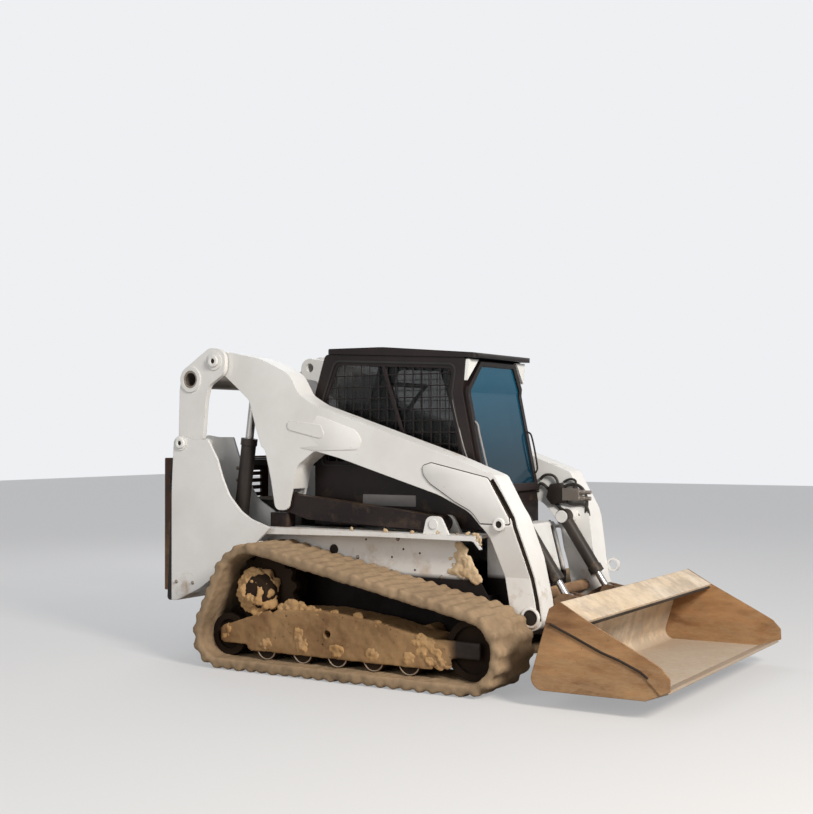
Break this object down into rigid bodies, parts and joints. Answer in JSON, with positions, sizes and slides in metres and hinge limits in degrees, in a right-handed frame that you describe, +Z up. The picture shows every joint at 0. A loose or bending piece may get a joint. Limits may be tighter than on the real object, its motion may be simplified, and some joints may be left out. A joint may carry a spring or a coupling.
{
  "type": "compact track loader",
  "caption": "Rubber-tracked compact loader with an enclosed cab, a linked lift arm and a general-purpose bucket on a tilting tool coupler.",
  "frame": {"origin": "middle of the overall box, on the ground under the track lugs", "axes": "+X forward towards the bucket, +Y to the machine's left, +Z up"},
  "size_m": [3.8, 2.032, 2.0854],
  "materials": {
    "cream_paint": "satin paint with chips, rust edges and mud",
    "black_paint": "faded satin black paint with dust",
    "track_rubber": "rubber under dried mud",
    "muddy_steel": "painted steel under dried mud",
    "cylinder_paint": "dusty dark paint",
    "rod_chrome": "polished",
    "bare_steel": "worn steel",
    "bucket_steel": "worn and rusted steel with soil",
    "engine_iron": "oily cast iron",
    "cab_glass": "clear glass with dust",
    "door_glass": "tinted glass",
    "lamp_plastic": "clear lens over a white reflector",
    "seat_vinyl": "grained vinyl",
    "cab_plastic": "moulded plastic"
  },
  "bodies": {
    "root": {"main_frame": "cream_paint", "rear_tower_left": "cream_paint", "rear_tower_right": "cream_paint", "engine_block": "engine_iron", "rear_grille": "black_paint", "track_left": "track_rubber", "track_right": "track_rubber", "track_frames": "muddy_steel", "road_rollers": "muddy_steel", "idlers": "muddy_steel", "sprockets": "muddy_steel", "arm_stops": "black_paint", "cab_shell": "black_paint", "cab_roof": "black_paint", "side_screens": "black_paint", "side_glass": "cab_glass", "rear_glass": "cab_glass", "corner_lamps": "lamp_plastic", "seat": "seat_vinyl", "controls": "cab_plastic", "seat_bar": "cab_plastic"},
    "control_links": {"control_links": "black_paint"},
    "lift_arms": {"lift_arm_left": "cream_paint", "lift_arm_right": "cream_paint", "torque_tube": "cream_paint", "auxiliary_couplers": "bare_steel", "hose_ring": "black_paint"},
    "coupler_pins": {"coupler_pins": "bare_steel"},
    "coupler": {"coupler": "black_paint", "bucket_shell": "bucket_steel", "bucket_sides": "bucket_steel", "cutting_edge": "bucket_steel"},
    "rear_links": {"rear_links": "cream_paint", "link_cross_tube": "bare_steel"},
    "lift_barrels": {"lift_barrels": "cylinder_paint"},
    "lift_rods": {"lift_rods": "rod_chrome"},
    "tilt_barrels": {"tilt_barrels": "cylinder_paint"},
    "tilt_rods": {"tilt_rods": "rod_chrome"},
    "cab_door": {"cab_door": "black_paint", "door_glass": "door_glass"},
    "tailgate": {"tailgate": "black_paint"}
  },
  "joints": [
    {"name": "lift", "type": "hinge", "parent": "root", "child": "control_links", "pos_m": [0.25, 0, 0.95], "axis": [0, 1, 0], "range_deg": [0, 55]},
    {"name": "arm_on_control_links", "type": "hinge", "parent": "control_links", "child": "lift_arms", "pos_m": [-0.905, 0, 1.055], "axis": [0, -1, 0], "range_deg": [0, 114]},
    {"name": "level_pins", "type": "hinge", "parent": "lift_arms", "child": "coupler_pins", "pos_m": [0.864, 0, 0.415], "axis": [0, 1, 0], "range_deg": [0, 59]},
    {"name": "tilt", "type": "hinge", "parent": "coupler_pins", "child": "coupler", "pos_m": [0.864, 0, 0.415], "axis": [0, 1, 0], "range_deg": [-30, 42]},
    {"name": "rear_link_swing", "type": "hinge", "parent": "root", "child": "rear_links", "pos_m": [-1.7, 0, 1.442], "axis": [0, 1, 0], "range_deg": [0, 3.61]},
    {"name": "lift_barrel_swing", "type": "hinge", "parent": "root", "child": "lift_barrels", "pos_m": [-1.36, 0, 0.62], "axis": [0, 1, 0], "range_deg": [0, 1.74]},
    {"name": "tilt_barrel_swing", "type": "hinge", "parent": "lift_arms", "child": "tilt_barrels", "pos_m": [0.702, 0, 0.963], "axis": [0, 1, 0], "range_deg": [0, 6.85]},
    {"name": "lift_rod_slide", "type": "slide", "parent": "lift_barrels", "child": "lift_rods", "axis": [0.1344, 0, 0.9909], "range_m": [0, 0.298]},
    {"name": "tilt_rod_slide", "type": "slide", "parent": "tilt_barrels", "child": "tilt_rods", "axis": [0.5505, 0, -0.8348], "range_m": [0, 0.148]},
    {"name": "cab_door_swing", "type": "hinge", "parent": "root", "child": "cab_door", "pos_m": [0.478, 0.38, 1.1], "axis": [-0.1988, 0, 0.98], "range_deg": [0, 90]},
    {"name": "tailgate_swing", "type": "hinge", "parent": "root", "child": "tailgate", "pos_m": [-1.822, -0.668, 0.9], "axis": [0, 0, 1], "range_deg": [0, 95]}
  ],
  "couplings": [
    {"joint": "arm_on_control_links", "follows": "lift", "ratio": 2.0718},
    {"joint": "level_pins", "follows": "lift", "ratio": 1.0718},
    {"joint": "rear_link_swing", "follows": "lift", "ratio": 0.064588},
    {"joint": "lift_barrel_swing", "follows": "lift", "ratio": 0.030591},
    {"joint": "tilt_barrel_swing", "follows": "lift", "ratio": 0.12352},
    {"joint": "lift_rod_slide", "follows": "lift", "m_per_rad": 0.30952},
    {"joint": "tilt_rod_slide", "follows": "lift", "m_per_rad": 0.15263}
  ]
}
